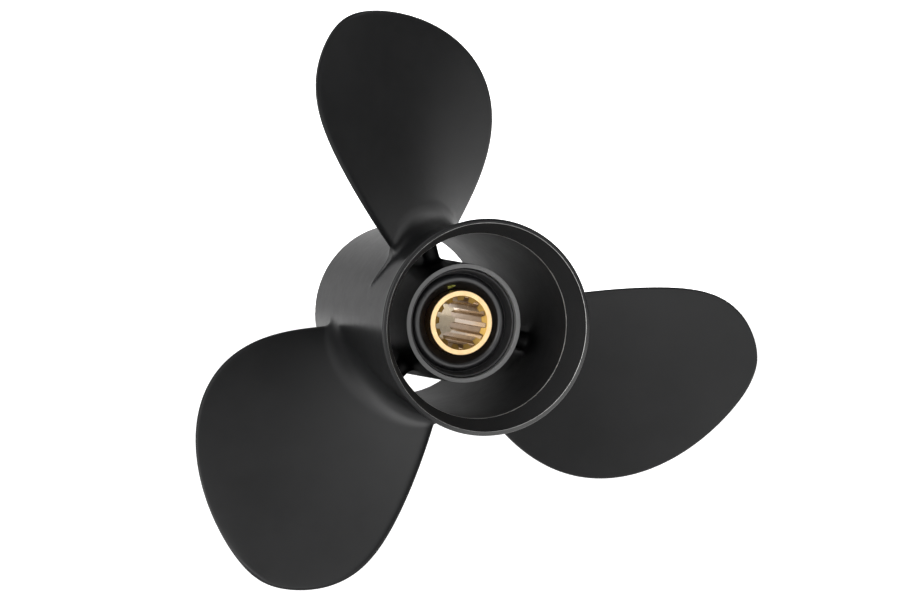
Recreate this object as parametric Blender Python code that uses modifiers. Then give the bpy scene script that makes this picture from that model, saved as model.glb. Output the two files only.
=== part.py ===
# Three-blade outboard propeller with a through-hub exhaust and a rubber-bushed splined sleeve.
#
# Frame: metres. The shaft lies along Y. +Y points forward, to the gearcase, and -Y points aft, to
# the nut. +Z is up and +X is to the right of someone who looks forward from behind the propeller.
# The origin is on the shaft's axis, in the plane of the sleeve's forward thrust face.
# Clock angles run clockwise from +Z as seen from behind, so the point at radius r and angle a has
# x = r sin a and z = r cos a. A right-hand propeller's blades move forward as the angle grows.

import math

import bmesh
import bpy
from mathutils import Vector

MM = 0.001

# Whole propeller: 11 1/4 inches across the blade tips
TIP_RADIUS = 142.9 * MM
BLADE_COUNT = 3
THRUST_FACE_FROM_RIM = 126.0 * MM

# Outer barrel: distances along it are measured forward from the aft rim
BARREL_LENGTH = 134.3 * MM
RIM_RADIUS = 46.5 * MM
RIM_NOSE_RADIUS = 1.0 * MM
RIM_MOUTH_RADIUS = 44.8 * MM
LIP_RADIUS = 46.2 * MM
LIP_WIDTH = 2.6 * MM
FLARE_LENGTH = 14.5 * MM
BARREL_AFT_RADIUS = 42.3 * MM
BARREL_FORWARD_RADIUS = 40.7 * MM
FORWARD_EDGE_ROUND = 1.4 * MM
MOUTH_CONE_DEPTH = 12.75 * MM
BORE_AFT_RADIUS = 39.8 * MM
BORE_FORWARD_RADIUS = 38.1 * MM
BARREL_STEPS = 72

# Inner barrel, which holds the bush
INNER_BARREL_AFT = 33.8 * MM
INNER_BARREL_FORWARD = 122.6 * MM
INNER_BARREL_RADIUS = 26.15 * MM
INNER_BARREL_DRAFT = 1.4 * MM
BUSH_BORE_RADIUS = 24.15 * MM
INNER_BARREL_EDGE = 0.3 * MM
INNER_STEPS = 60

# Ribs that carry the inner barrel
RIB_CLOCK = math.radians(-14.4)
RIB_THICKNESS = 7.6 * MM
RIB_AFT_ROUND = 3.4 * MM
RIB_AFT = 56.0 * MM
RIB_FORWARD = 119.0 * MM
RIB_INNER_RADIUS = 25.3 * MM
RIB_OUTER_RADIUS = 39.9 * MM

# Blades: the middle surface is y = pitch * angle / turn + rake line
BLADE_CLOCK = math.radians(-9.8)
BLADE_ROOT_RADIUS = 40.7 * MM
ROOT_HALF_CHORD = 24.4 * MM
HALF_CHORD_GROWTH = 59.3 * MM
TIP_TRIM = 32.7 * MM
TIP_TRIM_POWER = 9
TIP_ROUND_START = 2.07
TIP_ROUND_POWER = 0.48
CHORD_OFFSET = -0.4 * MM
FORWARD_SWEEP = 7.0 * MM
TIP_SWEEP_BACK = 31.0 * MM
TIP_SWEEP_POWER = 3.44
PITCH_AT_MID_RADIUS = 375.0 * MM
PITCH_GROWTH = 0.58
MID_RADIUS = 93.0 * MM
RAKE_AT_MID_RADIUS = 60.0 * MM
RAKE_SLOPE = -0.175
RAKE_CURVATURE = 1.15
ROOT_THICKNESS = 10.0 * MM
TIP_THICKNESS = 2.8 * MM
THICKNESS_FADE = 0.8
EDGE_THICKNESS = 1.9 * MM
PRESSURE_FILLET = 12.5 * MM
PRESSURE_FILLET_HOLD = 2.7
SUCTION_FILLET = 7.0 * MM
LEADING_FILLET = 4.5 * MM
TRAILING_FILLET = 2.0 * MM
CHORD_POINTS = 14
FILLET_STATIONS = 8
FILLET_STATION_SPREAD = 1.4
SPAN_STATIONS = 15
FILLET_TOP_RADIUS = 56.0 * MM
TIP_LAST_ANGLE = math.radians(87.0)

# Low ridge from each blade's trailing root, round the barrel towards the next blade. The starting height
# fades out over the first stretch, and the rest sinks into the barrel at the far end
RIDGE_START_ANGLE = math.radians(-34.6)
RIDGE_END_ANGLE = math.radians(-59.0)
RIDGE_START = 38.6 * MM
RIDGE_END = 48.9 * MM
RIDGE_OVERLAP = 0.06
RIDGE_CURVE = 2.3
RIDGE_ROOT_HEIGHT = 3.4 * MM
RIDGE_ROOT_FADE = 6
RIDGE_HEIGHT = 1.0 * MM
RIDGE_SINK = 0.3 * MM
RIDGE_END_FADE = 5
RIDGE_WIDTH = 1.9 * MM
RIDGE_TAPER = 1 / 3
RIDGE_BASE_DEPTH = 1.0 * MM
RIDGE_FULLNESS = 0.7
RIDGE_BEND = 6
RIDGE_SECTIONS = 14

# Splined sleeve
SLEEVE_RADIUS = 14.27 * MM
SLEEVE_AFT = 37.4 * MM
SLEEVE_CHAMFER = 0.3 * MM
MOUTH_RADIUS = 11.95 * MM
MOUTH_DEPTH = 1.5 * MM
SPLINE_TEETH = 13
SPLINE_MAJOR_RADIUS = 11.65 * MM
SPLINE_MINOR_RADIUS = 9.75 * MM
SPLINE_GAP_AT_MAJOR = 0.34
SPLINE_GAP_AT_MINOR = 0.62
SPLINE_END = 83.5 * MM
SPLINE_RUN_OUT = 1.4 * MM
BROACH_CORE_CLEARANCE = 0.6 * MM
RELIEF_RADIUS = 11.85 * MM
FORWARD_SEAT_RADIUS = 12.2 * MM
FORWARD_SEAT_DEPTH = 3.2 * MM
SLEEVE_STEPS = 52

# Rubber bush: its aft face is a slope at the sleeve, a round bead, a groove and a rounded outer lip, and its
# forward face is the same, turned over and shallower
SEAT_GAP = 0.3 * MM
BUSH_AFT_ROOT = 44.6 * MM
BUSH_SLOPE_RADIUS = 15.6 * MM
BUSH_SLOPE_AFT = 43.5 * MM
BUSH_BEAD_RADIUS = 19.2 * MM
BUSH_BEAD_ROUND = 2.1 * MM
BUSH_BEAD_AFT = 40.1 * MM
BUSH_BEAD_SWEEP = 70
BUSH_GROOVE_RADIUS = 21.9 * MM
BUSH_GROOVE_AFT = 43.0 * MM
BUSH_LIP_ROUND = 0.6 * MM
BUSH_LIP_AFT = 36.25 * MM
BUSH_FORWARD_ROOT = 117.2 * MM
BUSH_FORWARD_RELIEF = 0.4

PAINT_BLACK = (0.018, 0.019, 0.021)
BRASS_GOLD = (0.62, 0.43, 0.17)
RUBBER_BLACK = (0.03, 0.03, 0.032)


def along(distance):
    """Y of a place that is a distance forward of the aft rim."""
    return distance - THRUST_FACE_FROM_RIM


def arc(centre, radius, first, last, count):
    """Points of an arc in the (radius, distance) plane, angles in degrees."""
    points = []
    for index in range(count + 1):
        angle = math.radians(first + (last - first) * index / count)
        points.append((centre[0] + radius * math.cos(angle), centre[1] + radius * math.sin(angle)))
    return points


def start_scene():
    for old in list(bpy.data.objects):
        bpy.data.objects.remove(old)
    parts = bpy.data.collections.new("outboard_propeller")
    cutters = bpy.data.collections.new("construction")
    for group in (parts, cutters):
        bpy.context.scene.collection.children.link(group)
    return parts, cutters


def make_material(name, colour, roughness, metallic):
    material = bpy.data.materials.new(name)
    material.use_nodes = True
    shader = material.node_tree.nodes["Principled BSDF"]
    shader.inputs["Base Color"].default_value = (*colour, 1.0)
    shader.inputs["Roughness"].default_value = roughness
    shader.inputs["Metallic"].default_value = metallic
    return material


def add_object(name, mesh, group, material=None):
    part = bpy.data.objects.new(name, mesh)
    group.objects.link(part)
    if material:
        mesh.materials.append(material)
    return part


def hide_tool(part):
    """A tool shape that is only joined to, or cut from, another piece."""
    part.hide_render = True
    part.display_type = "WIRE"


def turned(name, profile, steps, group, material=None):
    """A ring or tube: a closed profile of (radius, distance from the rim), screwed round Y."""
    mesh = bpy.data.meshes.new(name)
    points = [(radius, along(distance), 0.0) for radius, distance in reversed(profile)]
    count = len(points)
    mesh.from_pydata(points, [(i, (i + 1) % count) for i in range(count)], [])
    part = add_object(name, mesh, group, material)
    screw = part.modifiers.new("turn", "SCREW")
    screw.axis = "Y"
    screw.angle = math.tau
    screw.screw_offset = 0.0
    screw.steps = steps
    screw.render_steps = steps
    screw.use_merge_vertices = True
    screw.merge_threshold = 0.00001
    screw.use_normal_calculate = False
    return part


def combine(part, tool, operation):
    modifier = part.modifiers.new(tool.name, "BOOLEAN")
    modifier.operation = operation
    modifier.object = tool
    modifier.solver = "EXACT"
    hide_tool(tool)


def barrel_profile():
    """Outer barrel: rolled rim, concave flare, drafted wall, rounded forward edge, mouth cone."""
    flare_rise = LIP_RADIUS - BARREL_AFT_RADIUS
    flare_reach = FLARE_LENGTH - LIP_WIDTH
    flare_radius = (flare_rise ** 2 + flare_reach ** 2) / (2 * flare_rise)
    flare_angle = math.degrees(math.asin(flare_reach / flare_radius))
    nose = (RIM_RADIUS - RIM_NOSE_RADIUS, RIM_NOSE_RADIUS)
    edge = (BARREL_FORWARD_RADIUS - FORWARD_EDGE_ROUND, BARREL_LENGTH - FORWARD_EDGE_ROUND)
    profile = [(RIM_MOUTH_RADIUS, 0.0)]
    profile += arc(nose, RIM_NOSE_RADIUS, -90, 0, 4)
    flare_centre = (BARREL_AFT_RADIUS + flare_radius, FLARE_LENGTH)
    profile += arc(flare_centre, flare_radius, 180 + flare_angle, 180, 6)
    profile += arc(edge, FORWARD_EDGE_ROUND, 0, 90, 4)
    profile += [(BORE_FORWARD_RADIUS, BARREL_LENGTH), (BORE_AFT_RADIUS, MOUTH_CONE_DEPTH)]
    return profile


def inner_barrel_profile():
    forward_radius = INNER_BARREL_RADIUS + INNER_BARREL_DRAFT
    cut = INNER_BARREL_EDGE
    return [
        (BUSH_BORE_RADIUS + cut, INNER_BARREL_AFT),
        (INNER_BARREL_RADIUS - cut, INNER_BARREL_AFT),
        (INNER_BARREL_RADIUS, INNER_BARREL_AFT + cut),
        (forward_radius, INNER_BARREL_FORWARD - cut),
        (forward_radius - cut, INNER_BARREL_FORWARD),
        (BUSH_BORE_RADIUS + cut, INNER_BARREL_FORWARD),
        (BUSH_BORE_RADIUS, INNER_BARREL_FORWARD - cut),
        (BUSH_BORE_RADIUS, INNER_BARREL_AFT + cut),
    ]


def make_rib(index, group):
    """A radial web with a round aft edge, from the inner barrel's wall into the outer one's."""
    mesh = bpy.data.meshes.new(f"rib_{index + 1}")
    form = bmesh.new()
    bmesh.ops.create_cube(form, size=1.0)
    length = RIB_FORWARD - RIB_AFT
    height = RIB_OUTER_RADIUS - RIB_INNER_RADIUS
    bmesh.ops.scale(form, vec=(RIB_THICKNESS, length, height), verts=form.verts)
    aft_verts = {vert for vert in form.verts if vert.co.y < 0}
    aft_edges = [
        edge for edge in form.edges
        if aft_verts.issuperset(edge.verts) and edge.verts[0].co.x == edge.verts[1].co.x
    ]
    bmesh.ops.bevel(
        form, geom=aft_edges, offset=RIB_AFT_ROUND, segments=3, profile=0.5, affect="EDGES"
    )
    middle_radius = (RIB_OUTER_RADIUS + RIB_INNER_RADIUS) / 2
    middle = Vector((0.0, along((RIB_FORWARD + RIB_AFT) / 2), middle_radius))
    bmesh.ops.translate(form, vec=middle, verts=form.verts)
    form.to_mesh(mesh)
    form.free()
    rib = add_object(f"rib_{index + 1}", mesh, group)
    rib.rotation_euler.y = RIB_CLOCK + index * math.tau / BLADE_COUNT
    return rib


def span_share(radius):
    """0 at the blade's root and 1 at its tip."""
    return max(radius - BLADE_ROOT_RADIUS, 0.0) / (TIP_RADIUS - BLADE_ROOT_RADIUS)


def half_chord(radius):
    """Half of the blade's width, as an arc on the cylinder of this radius."""
    out = span_share(radius)
    straight = ROOT_HALF_CHORD + HALF_CHORD_GROWTH * out - TIP_TRIM * out ** TIP_TRIM_POWER
    return straight * (1 - out ** TIP_ROUND_START) ** TIP_ROUND_POWER


def chord_middle(radius):
    """Arc from the blade's reference line to the middle of its width: the tip sweeps back."""
    out = span_share(radius)
    return CHORD_OFFSET + FORWARD_SWEEP * out - TIP_SWEEP_BACK * out ** TIP_SWEEP_POWER


def pitch(radius):
    return PITCH_AT_MID_RADIUS + PITCH_GROWTH * (radius - MID_RADIUS)


def rake_line(radius):
    out = radius - MID_RADIUS
    return RAKE_AT_MID_RADIUS + RAKE_SLOPE * out + RAKE_CURVATURE * out ** 2


def hub_radius(distance):
    share = (distance - FLARE_LENGTH) / (BARREL_LENGTH - FLARE_LENGTH)
    return BARREL_AFT_RADIUS + (BARREL_FORWARD_RADIUS - BARREL_AFT_RADIUS) * share


def half_thickness(radius, place):
    """Half of the blade's thickness at a place across it, -1 at the trailing edge and 1 ahead."""
    middle = ROOT_THICKNESS + (TIP_THICKNESS - ROOT_THICKNESS) * span_share(radius) ** THICKNESS_FADE
    full = EDGE_THICKNESS + (middle - EDGE_THICKNESS) * (1 - place ** 2)
    nose = min(1.0, EDGE_THICKNESS / max(half_chord(radius), EDGE_THICKNESS))
    into_nose = max(abs(place) - (1 - nose), 0.0) / nose
    return full / 2 * math.sqrt(max(1 - into_nose ** 2, 0.0))


def section_outline(radius):
    """Closed outline of the blade cut by a cylinder, as (arc, distance), and each point's place."""
    slope = math.atan(pitch(radius) / (math.tau * radius))
    half = half_chord(radius)
    middle = chord_middle(radius)
    outline = []
    for side in (-1, 1):
        for index in range(CHORD_POINTS):
            place = -side * math.cos(math.pi * index / CHORD_POINTS)
            offset = side * half_thickness(radius, place)
            if index == 0:
                offset = 0.0
            arc_place = middle + place * half
            outline.append((
                arc_place - offset * math.sin(slope),
                arc_place * math.tan(slope) + rake_line(radius) + offset * math.cos(slope),
                side, place,
            ))
    return outline


def fillet_reach(height, fillet):
    """How far a concave fillet of this radius stands off the blade at a height above the hub."""
    rise = fillet - min(max(height, 0.0), fillet)
    return fillet - math.sqrt(max(fillet ** 2 - rise ** 2, 0.0))


def flared_section(radius):
    """The outline pushed outward near the hub, where the blade runs into it in a wide fillet."""
    outline = section_outline(radius)
    count = len(outline)
    points = []
    for index, (arc_place, distance, side, place) in enumerate(outline):
        before = outline[index - 1]
        after = outline[(index + 1) % count]
        tangent = Vector((after[0] - before[0], after[1] - before[1])).normalized()
        outward = Vector((-tangent.y, tangent.x))
        edge_fillet = TRAILING_FILLET if place < 0 else LEADING_FILLET
        if side < 0:
            fillet = edge_fillet + (PRESSURE_FILLET - edge_fillet) * (1 - abs(place) ** PRESSURE_FILLET_HOLD)
        else:
            fillet = edge_fillet + (SUCTION_FILLET - edge_fillet) * (1 - place ** 2) ** 2
        reach = fillet_reach(radius - hub_radius(distance), fillet)
        arc_place += outward.x * reach
        distance += outward.y * reach
        angle = arc_place / radius
        points.append(Vector((radius * math.sin(angle), along(distance), radius * math.cos(angle))))
    return points


def blade_stations():
    """Radii of the lofted sections: close together in the root fillet and round the tip."""
    radii = []
    for index in range(FILLET_STATIONS):
        share = (index / FILLET_STATIONS) ** FILLET_STATION_SPREAD
        radii.append(BLADE_ROOT_RADIUS + (FILLET_TOP_RADIUS - BLADE_ROOT_RADIUS) * share)
    for index in range(SPAN_STATIONS + 1):
        angle = TIP_LAST_ANGLE * index / SPAN_STATIONS
        radii.append(FILLET_TOP_RADIUS + (TIP_RADIUS - FILLET_TOP_RADIUS) * math.sin(angle))
    return radii


def cap_row(ring, radius):
    """Points midway between the two faces, set back on the cylinder, to close an end of the loft."""
    row = []
    for index in range(1, CHORD_POINTS):
        near = ring[index]
        far = ring[2 * CHORD_POINTS - index]
        centre = (near + far) / 2
        scale = radius / math.hypot(centre.x, centre.z)
        row.append(Vector((centre.x * scale, centre.y, centre.z * scale)))
    return row


def make_blade_mesh():
    """One blade, lofted through its cylindrical sections and closed at the root and the tip."""
    form = bmesh.new()
    rings = []
    radii = blade_stations()
    for radius in radii:
        rings.append([form.verts.new(point) for point in flared_section(radius)])
    count = 2 * CHORD_POINTS
    for lower, upper in zip(rings, rings[1:]):
        for index in range(count):
            follow = (index + 1) % count
            form.faces.new((lower[index], upper[index], upper[follow], lower[follow]))
    for ring, radius, flip in ((rings[0], radii[0], False), (rings[-1], radii[-1], True)):
        row = [form.verts.new(point) for point in cap_row([vert.co for vert in ring], radius)]
        spine = [ring[0]] + row + [ring[CHORD_POINTS]]
        for index in range(CHORD_POINTS):
            near = (ring[index], ring[index + 1])
            far = (ring[(count - index) % count], ring[count - index - 1])
            for pair, turn in ((near, flip), (far, not flip)):
                face = [pair[0], pair[1], spine[index + 1], spine[index]]
                face = [vert for place, vert in enumerate(face) if vert not in face[:place]]
                form.faces.new(face if turn else face[::-1])
    bmesh.ops.recalc_face_normals(form, faces=form.faces)
    mesh = bpy.data.meshes.new("blade")
    form.to_mesh(mesh)
    form.free()
    return mesh


def make_ridge_mesh():
    """The ridge of one blade: a thin fin that follows the barrel and sinks into it."""
    run = Vector(((RIDGE_END_ANGLE - RIDGE_START_ANGLE) * BARREL_AFT_RADIUS, RIDGE_END - RIDGE_START))
    across = Vector((-run.y, run.x)).normalized()
    form = bmesh.new()
    rings = []
    for index in range(RIDGE_SECTIONS + 1):
        share = -RIDGE_OVERLAP + (1 + RIDGE_OVERLAP) * index / RIDGE_SECTIONS
        run_share = max(share, 0.0)
        distance = RIDGE_START + (RIDGE_END - RIDGE_START) * run_share ** RIDGE_CURVE
        angle = RIDGE_START_ANGLE + (RIDGE_END_ANGLE - RIDGE_START_ANGLE) * share
        end_fade = run_share ** RIDGE_END_FADE
        height = RIDGE_ROOT_HEIGHT * (1 - share) ** RIDGE_ROOT_FADE
        height += RIDGE_HEIGHT * (1 - end_fade) - RIDGE_SINK * end_fade
        half_width = RIDGE_WIDTH / 2 * (1 - RIDGE_TAPER * run_share)
        ring = []
        for step in range(RIDGE_BEND + 1):
            spread = math.pi * step / RIDGE_BEND
            offset = across * (-half_width * math.cos(spread))
            fullness = max(math.sin(spread), 0.0) ** RIDGE_FULLNESS
            radius = hub_radius(distance) - RIDGE_BASE_DEPTH + (height + RIDGE_BASE_DEPTH) * fullness
            turn = angle + offset.x / radius
            y = along(distance + offset.y)
            ring.append(form.verts.new((radius * math.sin(turn), y, radius * math.cos(turn))))
        rings.append(ring)
    for lower, upper in zip(rings, rings[1:]):
        for index in range(len(lower)):
            follow = (index + 1) % len(lower)
            form.faces.new((lower[index], lower[follow], upper[follow], upper[index]))
    form.faces.new(rings[0])
    form.faces.new(rings[-1])
    bmesh.ops.recalc_face_normals(form, faces=form.faces)
    mesh = bpy.data.meshes.new("root_ridge")
    form.to_mesh(mesh)
    form.free()
    return mesh


def make_casting(parts, tools, material):
    """Outer barrel, inner barrel, ribs, blades and root ridges, which are cast in one piece."""
    casting = turned("propeller_casting", barrel_profile(), BARREL_STEPS, parts, material)
    joined = [turned("inner_barrel", inner_barrel_profile(), INNER_STEPS, tools)]
    for index in range(BLADE_COUNT):
        joined.append(make_rib(index, tools))
    for name, mesh in (("blade", make_blade_mesh()), ("root_ridge", make_ridge_mesh())):
        for index in range(BLADE_COUNT):
            piece = add_object(f"{name}_{index + 1}", mesh, tools)
            piece.rotation_euler.y = BLADE_CLOCK + index * math.tau / BLADE_COUNT
            joined.append(piece)
    for tool in joined:
        combine(casting, tool, "UNION")
    return casting


def bush_aft_face():
    """The bush's aft face from the sleeve outward, as (radius, distance) pairs."""
    bead_centre = (BUSH_BEAD_RADIUS, BUSH_BEAD_AFT + BUSH_BEAD_ROUND)
    lip_centre = (BUSH_BORE_RADIUS - SEAT_GAP - BUSH_LIP_ROUND, BUSH_LIP_AFT + BUSH_LIP_ROUND)
    face = [(SLEEVE_RADIUS + SEAT_GAP, BUSH_AFT_ROOT), (BUSH_SLOPE_RADIUS, BUSH_SLOPE_AFT)]
    face += arc(bead_centre, BUSH_BEAD_ROUND, -90 - BUSH_BEAD_SWEEP, -90 + BUSH_BEAD_SWEEP, 6)
    face += [(BUSH_GROOVE_RADIUS, BUSH_GROOVE_AFT)]
    face += arc(lip_centre, BUSH_LIP_ROUND, -180, 0, 4)
    return face


def make_bush(parts, material):
    """Rubber bush between the sleeve and the inner barrel, with a round bead on each end face."""
    aft = bush_aft_face()
    forward = []
    for radius, distance in reversed(aft):
        relief = BUSH_FORWARD_RELIEF * (BUSH_AFT_ROOT - distance)
        forward.append((radius, BUSH_FORWARD_ROOT + relief))
    return turned("rubber_bush", aft + forward, INNER_STEPS, parts, material)


def sleeve_profile():
    """The sleeve before broaching: mouth cone, splined length, relief and the forward thrust seat."""
    thrust_face = THRUST_FACE_FROM_RIM
    cut = SLEEVE_CHAMFER
    return [
        (MOUTH_RADIUS, SLEEVE_AFT),
        (SLEEVE_RADIUS - cut, SLEEVE_AFT),
        (SLEEVE_RADIUS, SLEEVE_AFT + cut),
        (SLEEVE_RADIUS, thrust_face - cut),
        (SLEEVE_RADIUS - cut, thrust_face),
        (FORWARD_SEAT_RADIUS, thrust_face),
        (RELIEF_RADIUS, thrust_face - FORWARD_SEAT_DEPTH),
        (RELIEF_RADIUS, SPLINE_END + SPLINE_RUN_OUT),
        (SPLINE_MINOR_RADIUS, SPLINE_END),
        (SPLINE_MINOR_RADIUS, SLEEVE_AFT + MOUTH_DEPTH),
    ]


def make_broach(tools):
    """The toothed bar whose shape is cut from the sleeve to leave its inner splines."""
    outline = bpy.data.curves.new("broach", "CURVE")
    outline.dimensions = "2D"
    outline.fill_mode = "BOTH"
    outline.extrude = BARREL_LENGTH / 2
    tooth = math.tau / SPLINE_TEETH
    core_radius = SPLINE_MINOR_RADIUS - BROACH_CORE_CLEARANCE
    points = []
    for index in range(SPLINE_TEETH):
        for radius, share in (
            (core_radius, -SPLINE_GAP_AT_MINOR),
            (SPLINE_MAJOR_RADIUS, -SPLINE_GAP_AT_MAJOR),
            (SPLINE_MAJOR_RADIUS, SPLINE_GAP_AT_MAJOR),
            (core_radius, SPLINE_GAP_AT_MINOR),
        ):
            angle = (index + 0.5 + share / 2) * tooth
            points.append((radius * math.sin(angle), radius * math.cos(angle)))
    spline = outline.splines.new("POLY")
    spline.points.add(len(points) - 1)
    for place, (x, y) in zip(spline.points, points):
        place.co = (x, y, 0.0, 1.0)
    spline.use_cyclic_u = True
    guide = add_object("broach_outline", outline, tools)
    guide.rotation_euler.x = math.pi / 2
    guide.location.y = along(BARREL_LENGTH / 2)
    bpy.context.view_layer.update()
    mesh = bpy.data.meshes.new_from_object(guide.evaluated_get(bpy.context.evaluated_depsgraph_get()))
    form = bmesh.new()
    form.from_mesh(mesh)
    bmesh.ops.remove_doubles(form, verts=form.verts, dist=0.00001)
    bmesh.ops.recalc_face_normals(form, faces=form.faces)
    form.to_mesh(mesh)
    form.free()
    broach = add_object("broach", mesh, tools)
    broach.matrix_world = guide.matrix_world.copy()
    bpy.data.objects.remove(guide)
    return broach


def make_sleeve(parts, tools, material):
    sleeve = turned("spline_sleeve", sleeve_profile(), SLEEVE_STEPS, parts, material)
    combine(sleeve, make_broach(tools), "DIFFERENCE")
    return sleeve


def main():
    parts, tools = start_scene()
    paint = make_material("black_paint", PAINT_BLACK, 0.38, 0.0)
    brass = make_material("brass", BRASS_GOLD, 0.28, 1.0)
    rubber = make_material("rubber", RUBBER_BLACK, 0.6, 0.0)
    make_casting(parts, tools, paint)
    make_bush(parts, rubber)
    make_sleeve(parts, tools, brass)


main()
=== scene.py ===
# Three-blade outboard propeller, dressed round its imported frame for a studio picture.
#
# The frame is in metres: the shaft along Y with the gearcase at +Y, +Z up, +X to the right from behind.
# Lengths below are in millimetres times mm. "Distance" means forward from the hub's aft rim, and a
# clock angle runs clockwise from +Z as seen from behind the propeller.

import math

import bmesh
import bpy
import numpy as np
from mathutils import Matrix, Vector
from mathutils.kdtree import KDTree


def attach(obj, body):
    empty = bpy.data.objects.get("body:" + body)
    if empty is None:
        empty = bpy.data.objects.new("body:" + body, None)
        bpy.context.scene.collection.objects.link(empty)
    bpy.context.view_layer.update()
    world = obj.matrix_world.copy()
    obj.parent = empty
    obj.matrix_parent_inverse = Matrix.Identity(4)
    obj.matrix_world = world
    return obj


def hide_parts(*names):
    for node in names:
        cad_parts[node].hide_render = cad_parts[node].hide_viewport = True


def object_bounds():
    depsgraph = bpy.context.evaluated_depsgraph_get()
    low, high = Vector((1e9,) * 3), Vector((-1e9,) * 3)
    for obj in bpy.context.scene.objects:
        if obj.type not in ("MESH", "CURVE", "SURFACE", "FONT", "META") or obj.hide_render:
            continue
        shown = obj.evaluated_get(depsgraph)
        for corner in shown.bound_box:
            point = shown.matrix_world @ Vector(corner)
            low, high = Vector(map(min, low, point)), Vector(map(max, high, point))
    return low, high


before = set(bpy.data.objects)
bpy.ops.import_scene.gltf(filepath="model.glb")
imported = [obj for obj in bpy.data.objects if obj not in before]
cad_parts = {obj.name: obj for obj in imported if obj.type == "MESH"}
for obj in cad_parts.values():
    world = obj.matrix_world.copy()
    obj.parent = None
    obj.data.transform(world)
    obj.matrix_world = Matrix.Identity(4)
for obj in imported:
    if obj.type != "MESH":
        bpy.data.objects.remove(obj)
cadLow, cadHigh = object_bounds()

mm = 0.001
rimToOrigin = 126.0 * mm    # the frame's origin lies this far forward of the aft rim
bladeCount = 3
turn = math.tau

# Every solid of the casting marks its faces, so that the seams can be found once they are joined
marks = {"outerBarrel": 1, "innerBarrel": 2, "rib": 3, "blade": 4, "ridge": 5}


# Y in the frame of a place this far forward of the aft rim
def along(distance):
    return distance - rimToOrigin


# Closed profile of (radius, distance) from corners of (radius, distance, round): every corner becomes a
# small arc, with a point close by on each side, and long runs are divided, so that smooth shading holds
def softProfile(corners, rowLength, bend=5, hold=0.12 * mm):
    points = []
    count = len(corners)
    for index, (radius, distance, roundness) in enumerate(corners):
        corner = Vector((radius, distance))
        back = Vector(corners[index - 1][:2]) - corner
        ahead = Vector(corners[(index + 1) % count][:2]) - corner
        if roundness:
            toBack, toAhead = back.normalized(), ahead.normalized()
            half = toBack.angle(toAhead) / 2
            reach = roundness / math.tan(half)
            centre = corner + (toBack + toAhead).normalized() * roundness / math.sin(half)
            first = corner + toBack * reach - centre
            sweep = first.angle_signed(corner + toAhead * reach - centre)
            points.append(corner + toBack * (reach + hold))
            for step in range(bend + 1):
                angle = -sweep * step / bend
                spin = Vector((first.x * math.cos(angle) - first.y * math.sin(angle),
                               first.x * math.sin(angle) + first.y * math.cos(angle)))
                points.append(centre + spin)
            points.append(corner + toAhead * (reach + hold))
        else:
            points.append(corner)
    rows = []
    for index, point in enumerate(points):
        follow = points[(index + 1) % len(points)]
        pieces = max(1, math.ceil((follow - point).length / rowLength))
        for step in range(pieces):
            rows.append(point.lerp(follow, step / pieces))
    return rows


# Mesh object from a grid of points, closed round each row; the last row joins the first, or both are capped
def gridSolid(name, rows, wrap, mark=0):
    rows = np.asarray(rows)
    rowCount, roundCount = rows.shape[:2]
    index = np.arange(rowCount * roundCount).reshape(rowCount, roundCount)
    near = index if wrap else index[:-1]
    far = np.roll(index, -1, axis=0) if wrap else index[1:]
    quads = np.stack([near, np.roll(near, -1, axis=1), np.roll(far, -1, axis=1), far], axis=-1)
    faces = quads.reshape(-1, 4).tolist()
    if not wrap:
        for ring in (index[0], index[-1]):
            for step in range(roundCount // 2):
                face = [
                    ring[step], ring[step + 1],
                    ring[roundCount - step - 1], ring[(roundCount - step) % roundCount],
                ]
                faces.append([int(vert) for place, vert in enumerate(face) if vert not in face[:place]])
    mesh = bpy.data.meshes.new(name)
    mesh.from_pydata(rows.reshape(-1, 3).tolist(), [], faces)
    form = bmesh.new()
    form.from_mesh(mesh)
    bmesh.ops.recalc_face_normals(form, faces=form.faces)
    form.to_mesh(mesh)
    form.free()
    layer = mesh.attributes.new("mark", "INT", "FACE")
    layer.data.foreach_set("value", [mark] * len(mesh.polygons))
    piece = bpy.data.objects.new(name, mesh)
    bpy.context.scene.collection.objects.link(piece)
    return piece


# Ring or tube turned round Y from a closed profile
def turnedSolid(name, profile, steps, mark=0):
    angles = np.arange(steps) * turn / steps
    radius = np.array([point[0] for point in profile])[:, None]
    distance = np.array([point[1] for point in profile])[:, None]
    rows = [radius * np.sin(angles), along(distance) + 0 * angles, radius * np.cos(angles)]
    return gridSolid(name, np.stack(rows, axis=-1), wrap=True, mark=mark)


hub = {
    "length": 134.3 * mm,
    "rimRadius": 46.8 * mm, "rimNose": 1.0 * mm, "mouthRadius": 44.8 * mm, "mouthEdge": 0.3 * mm,
    "lipRadius": 46.5 * mm, "lipWidth": 2.6 * mm, "lipEdge": 0.7 * mm,
    "flareEnd": 14.5 * mm, "flareSteps": 18, "flareFirst": 3,
    "aftRadius": 42.3 * mm, "forwardRadius": 40.7 * mm, "forwardEdge": 1.4 * mm,
    "coneDepth": 12.75 * mm, "boreAft": 40.0 * mm, "boreForward": 38.1 * mm, "boreEdge": 0.3 * mm,
    "steps": 200, "rowLength": 2.2 * mm,
}


def hubRadius(distance):
    share = (distance - hub["flareEnd"]) / (hub["length"] - hub["flareEnd"])
    return hub["aftRadius"] + (hub["forwardRadius"] - hub["aftRadius"]) * share


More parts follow.
